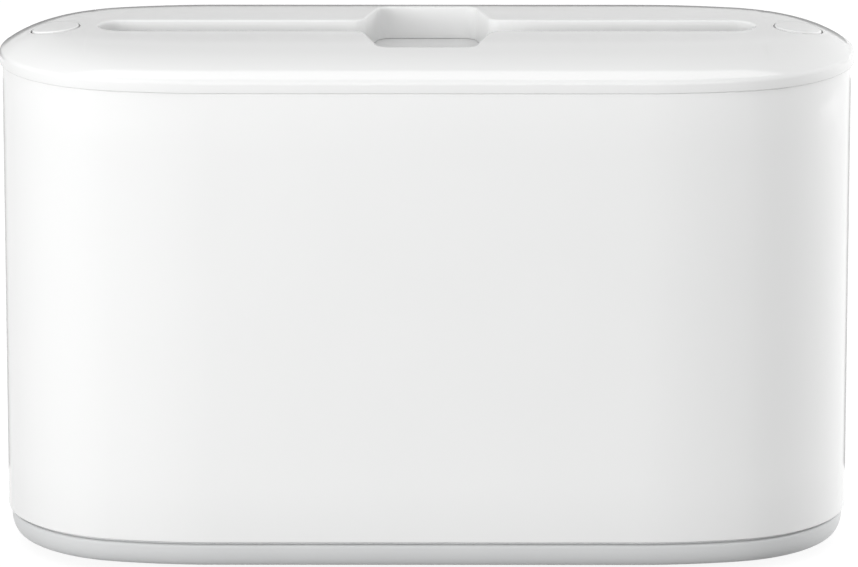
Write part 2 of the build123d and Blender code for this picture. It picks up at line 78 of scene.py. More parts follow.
half_length = shell_high[0]
half_depth = shell_high[1]
seam = shell_high[2]
lid_overhang = lid_high[0] - half_length
tray_inset = half_length - tray_high[0]
print(f"shell {2 * half_length:.1f} x {2 * half_depth:.1f} mm, seam at {seam:.1f} mm")


# %% [markdown]
# ## The camera
# The camera comes first, so that every piece can be judged in the photograph's own
# view. It stands a good two and a half metres away and looks down by about fifteen
# degrees, so a long lens fills the frame and there is very little perspective: the
# sides lean in by only a few pixels towards the foot.

# %% Place the camera
camera_distance = 2622.2
camera_height = 785.55
camera_pitch = 0.2557
camera_turn = 0.0019

lens = bpy.data.cameras.new("photo_camera")
lens.sensor_width = 36.0
lens.lens = 299.4
lens.shift_x = 0.0026
lens.shift_y = -0.0006
lens.clip_start = 0.1
lens.clip_end = 50.0
camera = bpy.data.objects.new("photo_camera", lens)
camera.location = (camera_distance * camera_turn * mm, -camera_distance * mm, camera_height * mm)
camera.rotation_euler = (np.pi / 2 - camera_pitch, 0.0, camera_turn)
bpy.context.collection.objects.link(camera)
bpy.context.scene.camera = camera
print("camera lens", lens.lens, "mm")

# %% [markdown]
# ## Curves in the plan
# The body's outline and the edge of the slot are drawn from arcs that run into each
# other without a corner. Such a curve keeps its arc centres when it is moved along its
# normals. So each curve is stored as points with normals, and any wall, rim or rounding
# beside it is `point + growth * normal`. One quarter is worked out and mirrored.

# %% Helpers for curves in the plan
arc_steps = 240


def directions(heading):
    """Directions (cos h, sin h) for headings h in radians."""
    return np.stack([np.cos(heading), np.sin(heading)], axis=1)


def unit(vectors):
    """Each vector divided by its length."""
    return vectors / np.linalg.norm(vectors, axis=1, keepdims=True)


def arc(centre, radius, first, last):
    """Points centre + radius * normal, with normals for headings from first to last in
    degrees. A negative radius gives a hollow arc, whose normals point at its centre."""
    normal = directions(np.radians(np.linspace(first, last, arc_steps + 1)))
    return np.array(centre) + radius * normal, normal


def joined(*arcs):
    """Arcs one after another as one curve. The gap between two arcs is a straight run."""
    return np.concatenate([a[0] for a in arcs]), np.concatenate([a[1] for a in arcs])


def run_of(curve):
    """Distance along a curve at each of its points: the running sum of its steps."""
    return np.concatenate([[0.0], np.cumsum(np.hypot(*np.diff(curve[0], axis=0).T))])


def at(curve, distance):
    """Points and unit normals of a curve at given distances along it."""
    run = run_of(curve)
    columns = np.stack([np.interp(distance, run, c) for c in (*curve[0].T, *curve[1].T)], axis=1)
    return columns[:, :2], unit(columns[:, 2:])


def all_round(quarter):
    """A closed loop from the quarter that runs from the X axis to the Y axis. The other
    quarters are the quarter mirrored in X, turned half round, and mirrored in Y."""
    right, left = np.array([1, 1]), np.array([-1, 1])
    back = [quarter * right, quarter[-2::-1] * left]
    return np.concatenate([*back, -quarter[1:] * right, quarter[-2:0:-1] * -left])


def grown(curve, amount):
    """A curve moved along its normals: point + amount * normal."""
    return curve[0] + amount * curve[1]


# %% [markdown]
# ## The body's outline
# Seen from above the body is a long oval: a straight front and back, slow shoulder arcs
# and round ends. A shoulder's radius isn't chosen. It follows from touching the straight
# side and the round end at once.

# %% Work out the body's outline
front_flat = 158.0
end_radius = 53.6

end_centre = half_length - end_radius
reach = end_centre - front_flat / 2
shoulder_radius = (reach**2 + half_depth**2 - end_radius**2) / (2 * (half_depth - end_radius))
shoulder_centre = (front_flat / 2, half_depth - shoulder_radius)
end_turn = np.degrees(np.arctan2(shoulder_radius - half_depth, reach))
outline = joined(
    arc((end_centre, 0.0), end_radius, 0.0, end_turn),
    arc(shoulder_centre, shoulder_radius, end_turn, 90.0),
    (np.array([[0.0, half_depth]]), np.array([[0.0, 1.0]])),
)
print(f"shoulder radius {shoulder_radius:.1f} mm, quarter outline {run_of(outline)[-1]:.1f} mm")


def inset_of(x, y):
    """How far a point lies inside the lid's rim, measured square to the rim: half depth
    - y beside the straight side, and radius - distance to the centre beside an arc. The
    two arcs meet on the line through both centres."""
    x, y = np.abs(x), np.abs(y)
    from_shoulder = np.hypot(x - shoulder_centre[0], y - shoulder_centre[1])
    heading = np.degrees(np.arctan2(y - shoulder_centre[1], x - shoulder_centre[0]))
    beside_end = end_radius - np.hypot(x - end_centre, y)
    beside_shoulder = np.where(heading > end_turn, shoulder_radius - from_shoulder, beside_end)
    return lid_overhang + np.where(x < shoulder_centre[0], half_depth - y, beside_shoulder)


# %% [markdown]
# ## From grids to meshes
# A patch is a grid of points: one parameter runs along its rows and one across them.
# Rows that close on themselves make a band, and a loop can be filled with a flat face.
# Patches that share an edge are joined by giving points in the same place one number.
# A piece is checked at once: a closed skin has no edge with a single face.

# %% Helpers that turn patches into a piece
def band(rows, closed=True):
    """Faces between the rows of a grid: each quad joins columns c and c + 1 of rows r and
    r + 1. A closed band joins its last column to its first."""
    rows = np.asarray(rows, float)
    count, columns = rows.shape[:2]
    number = np.arange(count * columns).reshape(count, columns)
    if closed:
        number = np.concatenate([number, number[:, :1]], axis=1)
    quads = [number[:-1, :-1], number[:-1, 1:], number[1:, 1:], number[1:, :-1]]
    return rows.reshape(-1, 3), [np.stack([q.ravel() for q in quads], axis=1)]


def filled(loop, upward=True):
    """One flat face that fills a loop."""
    order = np.arange(len(loop))
    return np.asarray(loop, float), [(order if upward else order[::-1])[None, :]]


def fan(loop, centre):
    """Triangles from a loop to one point in its middle."""
    order = np.arange(len(loop))
    faces = np.stack([order, np.roll(order, -1), np.full(len(loop), len(loop))], axis=1)
    return np.concatenate([np.asarray(loop, float), [centre]]), [faces]


def turned_half(patches):
    """Patches turned by half a turn about the Z axis, which keeps their faces outwards."""
    return [(points * [-1, -1, 1], faces) for points, faces in patches]


def piece(name, patches, body, paint, nodes=()):
    """A mesh object from patches in millimetres. Points that agree to a thousandth of a
    millimetre become one, which joins the patches at their shared edges."""
    points = np.concatenate([p[0] for p in patches])
    starts = np.cumsum([0] + [len(p[0]) for p in patches[:-1]])
    places = np.round(points, 3) + 0.0
    _, first, same = np.unique(places, axis=0, return_index=True, return_inverse=True)
    groups = [same.ravel()[g + start] for start, p in zip(starts, patches) for g in p[1]]
    faces = [face for group in groups for face in group.tolist()]
    mesh = bpy.data.meshes.new(name)
    mesh.from_pydata((points[first] * mm).tolist(), [], faces)
    mesh.validate()
    mesh.shade_smooth()
    mesh.set_sharp_from_angle(angle=np.radians(35.0))
    mesh.materials.append(paint.material)
    thing = bpy.data.objects.new(name, mesh)
    bpy.context.collection.objects.link(thing)
    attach(thing, body)
    if nodes:
        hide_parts(*nodes)
    edges = np.empty(len(mesh.loops), int)
    mesh.loops.foreach_get("edge_index", edges)
    open_edges = int((np.bincount(edges) != 2).sum())
    print(f"{name}: {len(mesh.polygons)} faces, {open_edges} open edges")
    return thing


def stacked(plan, heights):
    """A row of points: a plan loop at a height, or at one height for each point."""
    heights = np.broadcast_to(heights, (len(plan),))
    return np.concatenate([plan, heights[:, None]], axis=1)


def softened(corners, radii, steps=4):
    """A section's corners, each replaced by an arc of its radius. The arc starts and ends
    radius / tan(half the corner's angle) from the corner, and its points lie between
    these on the circle about the point that is equally far from both sides."""
    corners = np.asarray(corners, float)
    result = []
    for n, radius in enumerate(radii):
        here = corners[n]
        if radius == 0:
            result.append(here[None])
            continue
        before = corners[n - 1] - here
        after = corners[(n + 1) % len(corners)] - here
        before, after = before / np.linalg.norm(before), after / np.linalg.norm(after)
        half = np.arccos(np.clip(before @ after, -1, 1)) / 2
        middle = (before + after) / np.linalg.norm(before + after)
        centre = here + middle * radius / np.sin(half)
        start = here + before * radius / np.tan(half) - centre
        end = here + after * radius / np.tan(half) - centre
        share = np.linspace(0, 1, steps + 1)[:, None]
        spread = np.arccos(np.clip(start @ end / radius**2, -1, 1))
        bow = np.sin((1 - share) * spread) * start + np.sin(share * spread) * end
        result.append(centre + bow / np.sin(spread))
    return np.concatenate(result)


# %% [markdown]
# ## Shader maths in plain Python
# A node tree that is typed out link by link is hard to read. Here a small class wraps a
# node's output, so that `0.08 + mask * 0.05` adds its Math nodes by itself. Any other
# node comes from one method, which takes its type, its settings and what its sockets
# get. The world has a node tree too, so it shares these methods.

# %% Classes for writing node trees
class Reading:
    """One number that varies over a surface: the output of a node."""

    def __init__(self, tree, socket):
        self.tree, self.socket = tree, socket

    def _maths(self, operation, other):
        return self.tree.node("ShaderNodeMath", {"operation": operation}, {0: self, 1: other})

    def __add__(self, other):
        return self._maths("ADD", other)

    def __mul__(self, other):
        return self._maths("MULTIPLY", other)

    __radd__, __rmul__ = __add__, __mul__


class NodeTree:
    """The nodes of a material or a world, around the shader that it starts with."""

    def __init__(self, owner, shader):
        owner.use_nodes = True
        self.nodes, self.links = owner.node_tree.nodes, owner.node_tree.links
        self.shader = self.nodes[shader]

    def plug(self, socket, value):
        """Sets a socket to a value, or links it to a reading."""
        if isinstance(value, Reading):
            self.links.new(value.socket, socket)
        else:
            socket.default_value = value

    def node(self, kind, settings, values, output=0):
        """A node of a type: its settings are set first, then its sockets are given values
        or links, and the chosen output comes back as a reading."""
        made = self.nodes.new(kind)
        for name, value in settings.items():
            setattr(made, name, value)
        for name, value in values.items():
            self.plug(made.inputs[name], value)
        return Reading(self, made.outputs[output])

    def feed(self, **sockets):
        """Sets or links the shader's sockets. An underscore stands for a space."""
        for name, value in sockets.items():
            value = (*value, 1.0) if isinstance(value, tuple) else value
            self.plug(self.shader.inputs[name.replace("_", " ")], value)

    def seen_directly(self):
        """1 for a ray from the camera, from a mirror or through glass, and 0 for others."""
        kinds = ("Camera", "Glossy", "Transmission")
        rays = [self.node("ShaderNodeLightPath", {}, {}, f"Is {kind} Ray") for kind in kinds]
        return rays[0] + rays[1] + rays[2]


class Paint(NodeTree):
    """A material whose surface is one Principled shader."""

    def __init__(self, name, **sockets):
        self.material = bpy.data.materials.new(name)
        super().__init__(self.material, "Principled BSDF")
        self.place = self.node("ShaderNodeTexCoord", {}, {}, "Object")
        self.feed(**sockets)

    def noise(self, size, detail=2.0, stretch=(1.0, 1.0, 1.0)):
        """Noise between 0 and 1 whose blotches are about size millimetres wide."""
        turned = self.node("ShaderNodeMapping", {}, {"Vector": self.place, "Scale": stretch})
        values = {"Vector": turned, "Scale": 1.0 / (size * mm), "Detail": detail}
        return self.node("ShaderNodeTexNoise", {}, values)

    def between(self, dark, light, mask):
        """A colour between two, by a mask."""
        values = {"Factor": mask, 6: (*dark, 1.0), 7: (*light, 1.0)}
        return self.node("ShaderNodeMix", {"data_type": "RGBA"}, values, 2)

    def relief(self, height, depth):
        """Normals that are bent by a height between 0 and 1, depth millimetres deep."""
        values = {"Height": height, "Distance": depth * mm, "Strength": 1.0}
        self.feed(Normal=self.node("ShaderNodeBump", {}, values))


# %% [markdown]
# ## Finishes
# The shell and lid are glossy moulded plastic, nearly neutral white. It isn't a perfect
# mirror: the mould's polish leaves a faint ripple, and handling leaves duller patches.
# The tray is a satin grey, the inner mouldings have a fine spark-eroded grain, the feet
# are matt rubber, and the rods and springs are steel.

# %% A helper for finishes
def finish(name, colours, tint, roughness, wear, bumps, depth, **sockets):
    """A paint that varies in three ways, each by a noise of its own: the tint picks a
    colour between two, wear adds to the roughness, and bumps of a depth bend the light."""
    paint = Paint(name, **sockets)
    paint.feed(Base_Color=paint.between(*colours, paint.noise(*tint)))
    paint.feed(Roughness=roughness[0] + paint.noise(*wear) * roughness[1])
    paint.relief(paint.noise(*bumps), depth)
    return paint


# %% White gloss of the shell, the lid and the buttons
whites, ripple = ((0.800, 0.803, 0.800), (0.835, 0.837, 0.835)), [6.0, 1.0]
worn = [14.0, 4.0]
gloss_white = finish("gloss_white", whites, [90.0], (0.08, 0.05), worn, ripple, 0.004, IOR=1.5)
whites, worn = ((0.795, 0.798, 0.795), (0.830, 0.832, 0.830)), [12.0]
button_white = finish("button_white", whites, worn, (0.15, 0.06), worn, ripple, 0.002, IOR=1.5)

# %% Satin grey of the tray
greys, grain = ((0.585, 0.592, 0.595), (0.629, 0.636, 0.639)), [0.6, 3.0]
satin_grey = finish("satin_grey", greys, [40.0], (0.34, 0.12), grain, grain, 0.012, IOR=1.5)

# %% Matt white of the inner mouldings, and acetal of the bushes
whites, eroded = ((0.790, 0.796, 0.795), (0.835, 0.840, 0.838)), [0.8, 4.0]
inner_white = finish("inner_white", whites, [60.0], (0.42, 0.18), eroded, eroded, 0.02, IOR=1.49)
creams, worn = ((0.620, 0.600, 0.540), (0.700, 0.685, 0.630)), [1.5, 3.0, (1.0, 1.0, 0.15)]
waxy_acetal = finish("waxy_acetal", creams, worn, (0.28, 0.2), worn, worn, 0.01, IOR=1.48)

# %% Rubber of the feet
blacks, dust = ((0.050, 0.051, 0.053), (0.115, 0.116, 0.118)), [2.5, 6.0]
matt_rubber = finish("matt_rubber", blacks, dust, (0.72, 0.2), dust, [0.5, 4.0], 0.03, IOR=1.5)

# %% Steel of the guide posts and springs
steels, drawn = ((0.560, 0.565, 0.570), (0.680, 0.682, 0.684)), [0.7, 3.0, (1.0, 1.0, 0.04)]
drawn_steel = finish("drawn_steel", steels, drawn, (0.18, 0.2), drawn, drawn, 0.004, Metallic=1.0)
steels, oil = ((0.400, 0.405, 0.420), (0.560, 0.565, 0.575)), [2.0, 4.0]
spring_steel = finish("spring_steel", steels, oil, (0.25, 0.22), oil, oil, 0.005, Metallic=1.0)
print("finishes:", ", ".join(m.name for m in bpy.data.materials))

# %% [markdown]
# ## The lid's section
# Walk inwards from the rim: the lid rises straight for a few millimetres, turns over a
# tight edge, climbs a broad shoulder and levels out slowly towards the slot. Each arc
# starts at the slope where the last one ends, so no crease breaks the highlight. The
# dome is this section carried round the rim: its height depends only on the distance
# from the rim.

# %% Work out the lid's section
rim_height = 3.4
section_arcs = ((2.2, 90.0, 36.0), (38.0, 36.0, 5.3), (180.0, 5.3, 0.0))


def climbing(start, radius, steep, gentle, steps=200):
    """An arc that starts at a point and flattens from a steep to a gentle slope: inset
    grows by radius * (sin steep - sin slope), height by radius * (cos slope - cos steep)."""
    slope = np.radians(np.linspace(steep, gentle, steps + 1))
    inset = start[0] + radius * (np.sin(slope[0]) - np.sin(slope))
    return np.stack([inset, start[1] + radius * (np.cos(slope) - np.cos(slope[0]))], axis=1)


section = np.array([[0.0, rim_height]])
for section_arc in section_arcs:
    section = np.concatenate([section, climbing(section[-1], *section_arc)[1:]])


def dome(x, y):
    """Height of the lid's outer skin over a point of the plan."""
    return seam + np.interp(inset_of(x, y), section[:, 0], section[:, 1])


print(f"the dome rises {section[-1, 1]:.2f} mm over {section[-1, 0]:.1f} mm from the rim")

# %% [markdown]
# ## The mouth
# The towels come out of a long slot with round ends. Half way along, it widens to a
# finger recess whose flanks lean in towards the front and the back. Where the flank meets
# the slot the edge is blended by a hollow arc. All of it is one closed curve, so the
# wall below it and the soft edge at its top follow from the same points.

# %% Work out the mouth's outline
slot_length = 247.0
slot_width = 18.0
recess_depth = 69.0
recess_front_width = 35.8
recess_waist_width = 48.2
recess_corner = 5.0
recess_blend = 5.0
mouth_wall = 2.0

slot_edge = slot_width / 2
tip_centre = slot_length / 2 - slot_edge
lean = (recess_waist_width - recess_front_width) / (recess_depth - slot_width)
flank_foot = recess_waist_width / 2 + lean * slot_edge
flank_heading = np.degrees(np.arctan(lean))
sideways = np.hypot(1, lean)


def flank(y, beside):
    """X of a point at height y of the plan that lies beside the flank by a distance."""
    return flank_foot - lean * y + beside * sideways


corner_y = recess_depth / 2 - recess_corner
blend_y = slot_edge + recess_blend
mouth = joined(
    arc((tip_centre, 0.0), slot_edge, 0.0, 90.0),
    arc((flank(blend_y, recess_blend), blend_y), -recess_blend, 90.0, flank_heading),
    arc((flank(corner_y, -recess_corner), corner_y), recess_corner, flank_heading, 90.0),
    (np.array([[0.0, recess_depth / 2]]), np.array([[0.0, 1.0]])),
)
deck_top = box_mm("lift_platform")[1][2]
mouth_bottom = deck_top + 0.12
mouth_run = run_of(mouth)
arc_ends = mouth_run[: 3 * (arc_steps + 1)].reshape(3, -1)[:, [0, -1]]
(_, tip_end), (blend_start, blend_end), (corner_start, corner_end) = arc_ends
print(f"a quarter of the mouth's edge is {mouth_run[-1]:.1f} mm long")

# %% [markdown]
# ## Sharing out the lid's skin
# One grid can't cover a lid with a slot and two round holes, so the skin is shared out
# between a ring round the rim, a middle patch round the mouth and an end patch round
# each button. Neighbours use the same points along their shared edge, so they join
# without a gap, and every point of the top takes its height from the section, so the
# highlights stay smooth.

# %% Choose the points that the lid's patches share
ring_inset = 8.0
split_x = 127.0

inner_edge = grown(outline, lid_overhang - ring_inset)
outline_run = run_of(outline)


def outline_at_x(x):
    """Distance along the outline where the ring's inner edge passes an X."""
    return np.interp(-np.asarray(x), -inner_edge[:, 0], outline_run)


tip_half = tip_end / 2
mouth_stops = [tip_half, tip_end, blend_start, blend_end, corner_start, corner_end, mouth_run[-1]]
partner_x = [split_x, 116.0, 37.0, 31.0, 21.0, 14.0, 0.0]
mouth_steps = (8, 26, 8, 6, 8, 6)
across = 9
spans = zip(mouth_stops, mouth_stops[1:], mouth_steps)
mouth_at = np.concatenate(
    [np.linspace(0, tip_half, across)[:-1]]
    + [np.linspace(start, end, steps, endpoint=False) for start, end, steps in spans]
    + [[mouth_run[-1]]]
)
end_at = np.linspace(0, outline_at_x(split_x), 19)
middle_at = np.interp(mouth_at[across - 1:], mouth_stops, outline_at_x(partner_x))
ring_base, ring_out = at(outline, np.concatenate([end_at[:-1], middle_at]))
ring_edge = ring_base + (lid_overhang - ring_inset) * ring_out
end_edge, middle_edge = ring_edge[: len(end_at)], ring_edge[len(end_at) - 1:]
split_y = np.linspace(0, middle_edge[0, 1], across)
split_line = np.stack([np.full(across, middle_edge[0, 0]), split_y], axis=1)[:-1]
print(f"{4 * len(ring_base) - 4} points round the rim, {4 * len(mouth_at) - 4} round the mouth")

# %% [markdown]
# ## The lid
# The real lid is one thin moulding. Its skin is followed as the mould would be: up the
# lip inside the shell, round the rim, over the dome, down into the mouth and the button
# sleeves, and back along the underside. The mouth's edge is well rounded, because
# fingers reach over it, and the sleeves' edges are crisp.

# %% Make the lid
lid_wall = 2.5
shell_wall = 2.6
lip_gap = 0.4
lip_wall = 2.0
lip_depth = 6.0
lip_outer = lid_overhang + shell_wall + lip_gap
lip_inner = lip_outer + lip_wall
mouth_round = 0.8
sleeve_round = 0.25
button_centre = np.array([(button_low[0] + button_high[0]) / 2, 0.0])
button_radius = (button_high[0] - button_low[0]) / 2
sleeve_inner = button_radius + 0.65
sleeve_outer = button_radius + 1.85
sleeve_bottom = seam + 3.0
quarter_turn = np.radians(np.linspace(0, 90, 6))


def lid_height(inset):
    """Height of the outer skin above the seam, at an inset from the rim."""
    return np.interp(inset, section[:, 0], section[:, 1])


def ring_row(inset, height):
    """A row of the lid's rim: the outline moved to an inset, at a height over the seam."""
    return stacked(all_round(ring_base + (lid_overhang - inset) * ring_out), seam + height)


lip_corners = [(i, lid_height(i) - lid_wall) for i in (ring_inset, lip_inner)]
lip_corners += [(lip_inner, -lip_depth), (lip_outer, -lip_depth)]
lip_corners += [(lip_outer, 0), (0, 0), (0, rim_height)]
lip_section = softened(lip_corners, [0, 1.0, 0.4, 0.4, 0.4, 0.4, 0])
rim_turn = section[1:201:22, 0]
rim_insets = np.concatenate([rim_turn, np.linspace(section[200, 0], ring_inset, 8)])
rim_section = np.stack([rim_insets, lid_height(rim_insets)], axis=1)
ring_rows = [ring_row(i, h) for i, h in np.concatenate([lip_section, rim_section])]
ring_rows[-1][:, 2] = dome(*ring_rows[-1][:, :2].T)
ring_rows[0][:, 2] = dome(*ring_rows[0][:, :2].T) - lid_wall


def skin_round(edge, hole, bottom, wall, soft, rows=14):
    """The lid's skin between an edge and the rim of a hole, with the hole's wall below
    it. hole(g) is the hole's outline grown by g. Over the top, share t of the way from
    the edge to the hole lies at (1 - t) * edge + t * hole, at the dome's height. The
    hole's upper edge is a quarter circle, and the underside follows the top."""
    share = np.linspace(0, 1, rows)[:-1]
    near = hole(soft)
    plans = [(1 - t) * edge + t * near for t in share]
    path = [stacked(p, dome(*p.T)) for p in plans]
    for turn in quarter_turn:
        plan = hole(soft * (1 - np.sin(turn)))
        path.append(stacked(plan, dome(*plan.T) - soft * (1 - np.cos(turn))))
    foot = 0.08
    path += [stacked(hole(0), bottom + foot), stacked(hole(foot), bottom)]
    path += [stacked(hole(wall - foot), bottom), stacked(hole(wall), bottom + foot)]
    fillet = 0.7
    for turn in quarter_turn[::2]:
        plan = hole(wall + fillet * (1 - np.cos(turn)))
        path.append(stacked(plan, dome(*plan.T) - lid_wall - fillet * (1 - np.sin(turn))))
    near = hole(wall + fillet)
    plans = [t * edge + (1 - t) * near for t in np.linspace(0, 1, rows // 2)[1:]]
    return band(path + [stacked(p, dome(*p.T) - lid_wall) for p in plans])


def mouth_grown(growth):
    """The mouth's outline, grown by an amount, at the shared points."""
    points, normals = at(mouth, mouth_at)
    return all_round(points + growth * normals)


end_half = np.concatenate([end_edge, split_line[::-1]])
end_loop = np.concatenate([end_half, end_half[-2:0:-1] * [1, -1]])
spokes = unit(end_loop - button_centre)


def sleeve_grown(growth):
    """The button sleeve's circle, grown by an amount, on spokes to the shared points."""
    return button_centre + (sleeve_inner + growth) * spokes


middle_loop = all_round(np.concatenate([split_line, middle_edge]))
middle_patch = skin_round(middle_loop, mouth_grown, mouth_bottom, mouth_wall, mouth_round)
sleeve_wall = sleeve_outer - sleeve_inner
end_patch = skin_round(end_loop, sleeve_grown, sleeve_bottom, sleeve_wall, sleeve_round, 9)
lid_patches = [band(ring_rows), middle_patch, end_patch, *turned_half([end_patch])]
piece("lid_skin", lid_patches, "lid", gloss_white, ["lid"])

# %% [markdown]
# ## Plates and blocks with soft edges
# Moulded plastic has no knife edges. A plate is a rounded rectangle that is carried from
# one face to the other, and near each face it shrinks along a quarter circle. The same
# few rows make tongues, stops and posts, whichever way they face.

# %% Helpers for plates and turned pieces
def rounded_rectangle(length, width, corner):
    """A quarter of a rounded rectangle's outline, with normals."""
    corner_arc = arc((length / 2 - corner, width / 2 - corner), corner, 0.0, 90.0)
    few = [corner_arc[0][::48], corner_arc[1][::48]]
    start = (np.array([[length / 2, 0.0]]), np.array([[1.0, 0.0]]))
    end = (np.array([[0.0, width / 2]]), np.array([[0.0, 1.0]]))
    return joined(start, few, end)


def plate(curve, low, high, edge=0.3):
    """A plate between two levels: rows of the outline, moved in by edge * (1 - sin t) at a
    depth of edge * (1 - cos t) from each face, and both faces filled."""
    turns = quarter_turn[::2]
    shrink = edge * (1 - np.sin(turns))
    depth = edge * (1 - np.cos(turns))
    levels = [*zip(shrink, low + depth), *zip(shrink[::-1], high - depth[::-1])]
    rows = [stacked(all_round(grown(curve, -s)), z) for s, z in levels]
    return [band(rows), filled(rows[0], False), filled(rows[-1])]


def turned(profile, centre, columns=48):
    """A body of revolution: each (radius, height) of the profile becomes a circle about
    the centre. A radius of 0 closes the body in one point."""
    spoke = directions(np.linspace(0, 2 * np.pi, columns, endpoint=False))
    inner = [p for p in profile if p[0] > 0]
    rows = [stacked(np.array(centre) + r * spoke, z) for r, z in inner]
    patches = [band(rows)]
    if profile[0][0] == 0:
        low, faces = fan(rows[0], (*centre, profile[0][1]))
        patches.append((low, [faces[0][:, ::-1]]))
    if profile[-1][0] == 0:
        patches.append(fan(rows[-1], (*centre, profile[-1][1])))
    return patches


def moved(patches, shift, order=(0, 1, 2)):
    """Patches moved by a shift, after their axes are taken in a cyclic order: (2, 0, 1)
    sets a flat plate upright."""
    return [(points[:, order] + shift, faces) for points, faces in patches]


def extruded(outline, low, high):
    """A prism: an outline of (x, z) points, which turns left as seen from the front, is
    carried from one y to another."""
    ends = [np.insert(outline, 1, y, axis=1) for y in (low, high)]
    return [band(ends[::-1]), filled(ends[0]), filled(ends[1], False)]


# %% [markdown]
# ## Below the lid
# Under each end of the lid hangs a tongue with a window, which the spring strip catches.
# Beside the button's sleeve two stops and two hooks hold the plate that carries the
# button's spring. They are moulded with the lid, so they ride with it and share its
# plastic.

# %% Make the tongues
retainer_top = retainer_high[2]
retainer_bottom = retainer_low[2]
retainer_half = retainer_high[1]
tongue_inset = 7.7
tongue_half = 1.1
tongue_top = 194.4
tongue_bar = 3.5
window_height = 7.0
side_y, side_width = 8.15, 2.7
bar_width = 13.8

tongue_x = lid_high[0] - tongue_inset - tongue_half
tongue_bottom = lid_low[2]
window_low = tongue_bottom + tongue_bar
window_high = window_low + window_height
uprights = [(y, side_width, tongue_bottom, tongue_top) for y in (-side_y, side_y)]
uprights += [(0.0, bar_width, tongue_bottom, window_low)]
uprights += [(0.0, bar_width, window_high, tongue_top)]
fittings = []
for y, width, low, high in uprights:
    upright = plate(rounded_rectangle(width, high - low, 0.4), -tongue_half, tongue_half)
    fittings += moved(upright, (tongue_x, y, (low + high) / 2), (2, 0, 1))
print(f"tongue window from {window_low:.1f} to {window_high:.1f} mm")

# %% Make the stops and hooks round the button's retainer
retainer_play = 0.1
stop_length, stop_width = 6.0, 3.5
hook_half, hook_wall, hook_reach, hook_tip = 3.0, 1.6, 0.9, 1.5

hook_face = retainer_half + retainer_play
hook_top = retainer_bottom - retainer_play
skin_level = dome(*button_centre) - 1.5
hook_low = hook_top - hook_tip
hook = [(0, skin_level), (0, hook_top), (-hook_reach, hook_top)]
hook += [(0, hook_low), (hook_wall, hook_low), (hook_wall, skin_level)]
hook_radii = [0, 0.15, 0.15, 0.3, 0.5, 0]
for side in (-1, 1):
    stop = plate(rounded_rectangle(stop_length, stop_width, 0.5), retainer_top, skin_level)
    stop_y = side * (retainer_half - stop_width / 2)
    fittings += moved(stop, (*button_centre + [0, stop_y], 0))
    facing = [(side * (hook_face + y), z) for y, z in hook]
    facing = softened(facing[::side], hook_radii[::side])
    ends = [np.insert(facing, 0, button_centre[0] + x, axis=1) for x in (-hook_half, hook_half)]
    fittings += [band(ends), filled(ends[1]), filled(ends[0], False)]
fittings += turned_half(fittings)
piece("lid_fittings", fittings, "lid", gloss_white, ["lid"])

# %% [markdown]
# ## The shell
# The shell is one wall that goes all the way round: a tall thin rectangle with soft
# corners, carried along the outline. The lid's rim overhangs it by a millimetre, and
# that small step draws the fine grey line under the lid. Inside, slim ribs keep the
# towels off the wall.

# %% Make the shell
end_run, shoulder_run = outline_run[arc_steps], outline_run[2 * arc_steps + 1]
wall_stops = [np.linspace(0, end_run, 41)[:-1], np.linspace(end_run, shoulder_run, 17)[:-1]]
wall_stops += [np.linspace(shoulder_run, outline_run[-1], 9)]
wall_base, wall_out = at(outline, np.concatenate(wall_stops))


def wall_row(inset, height):
    """A row round the body: the outline moved inwards by an inset, at a height."""
    return stacked(all_round(wall_base - inset * wall_out), height)


shell_corners = [(0, shell_low[2]), (0, seam), (shell_wall, seam), (shell_wall, shell_low[2])]
shell_section = softened(shell_corners, [0.5, 0.5, 0.4, 0.5])
foot, top = shell_section[4:6]
outer_face = foot + np.linspace(0, 1, 9)[1:-1, None] * (top - foot)
parts = [shell_section[:5], outer_face, shell_section[5:], shell_section[:1]]
shell_section = np.concatenate(parts)
shell_patch = band([wall_row(i, h) for i, h in shell_section])
piece("shell_skin", [shell_patch], "housing", gloss_white, ["outer_shell"])

# %% Make the ribs inside the shell
rib_low, rib_high = tray_high[2] + 8.0, seam - 9.0
rib_face = half_depth - 11.8
rib_width, rib_reach, rib_spacing = 1.8, 10.4, 50.0
rib_curve = rounded_rectangle(rib_width, rib_reach, 0.5)
ribs = []
for x in np.arange(-2, 3) * rib_spacing:
    for side in (-1, 1):
        rib = plate(rib_curve, rib_low, rib_high, 0.6)
        ribs += moved(rib, (x, side * (rib_face + rib_reach / 2), 0.0))
piece("towel_ribs", ribs, "housing", gloss_white)

# %% [markdown]
# ## The tray
# The tray is a shallow pan. Its wall sits a little inside the shell and stops just short
# of it, which leaves a dark line all round the foot, and it turns under on a quarter
# of an ellipse that is taller than it is deep. A lip stands up inside the shell, and
# the floor carries the sockets and clips for what stands on it.

# %% Make the tray
tray_bottom = tray_low[2]
tray_top = shell_low[2]
floor_thickness = 2.5
shadow_gap = 1.2
under_turn, under_rise = 4.0, 7.2
step_in = 2.6

tray_floor = tray_bottom + floor_thickness
shoulder = tray_top - shadow_gap
lip_line = shell_wall + lip_gap
turn_down = np.radians(np.linspace(90, 0, 15))
edge_inset = tray_inset + under_turn * (1 - np.cos(turn_down))
edge_height = tray_bottom + under_rise * (1 - np.sin(turn_down))
lower_edge = np.stack([edge_inset, edge_height], axis=1)
lip_back = lip_line + lip_wall
upper = [(tray_inset, shoulder), (lip_line, shoulder), (lip_line, tray_high[2])]
upper += [(lip_back, tray_high[2]), (lip_back, tray_floor), (lip_back + step_in, tray_floor)]
upper_section = softened([*upper, lower_edge[-1]], [0.9, 0.2, 0.4, 0.4, 1.2, 0])
tray_rows = [wall_row(i, h) for i, h in np.concatenate([lower_edge, upper_section])]
tray_patches = [band(tray_rows), filled(tray_rows[0], False), filled(tray_rows[-1])]
piece("tray_skin", tray_patches, "housing", satin_grey, ["base_tray"])

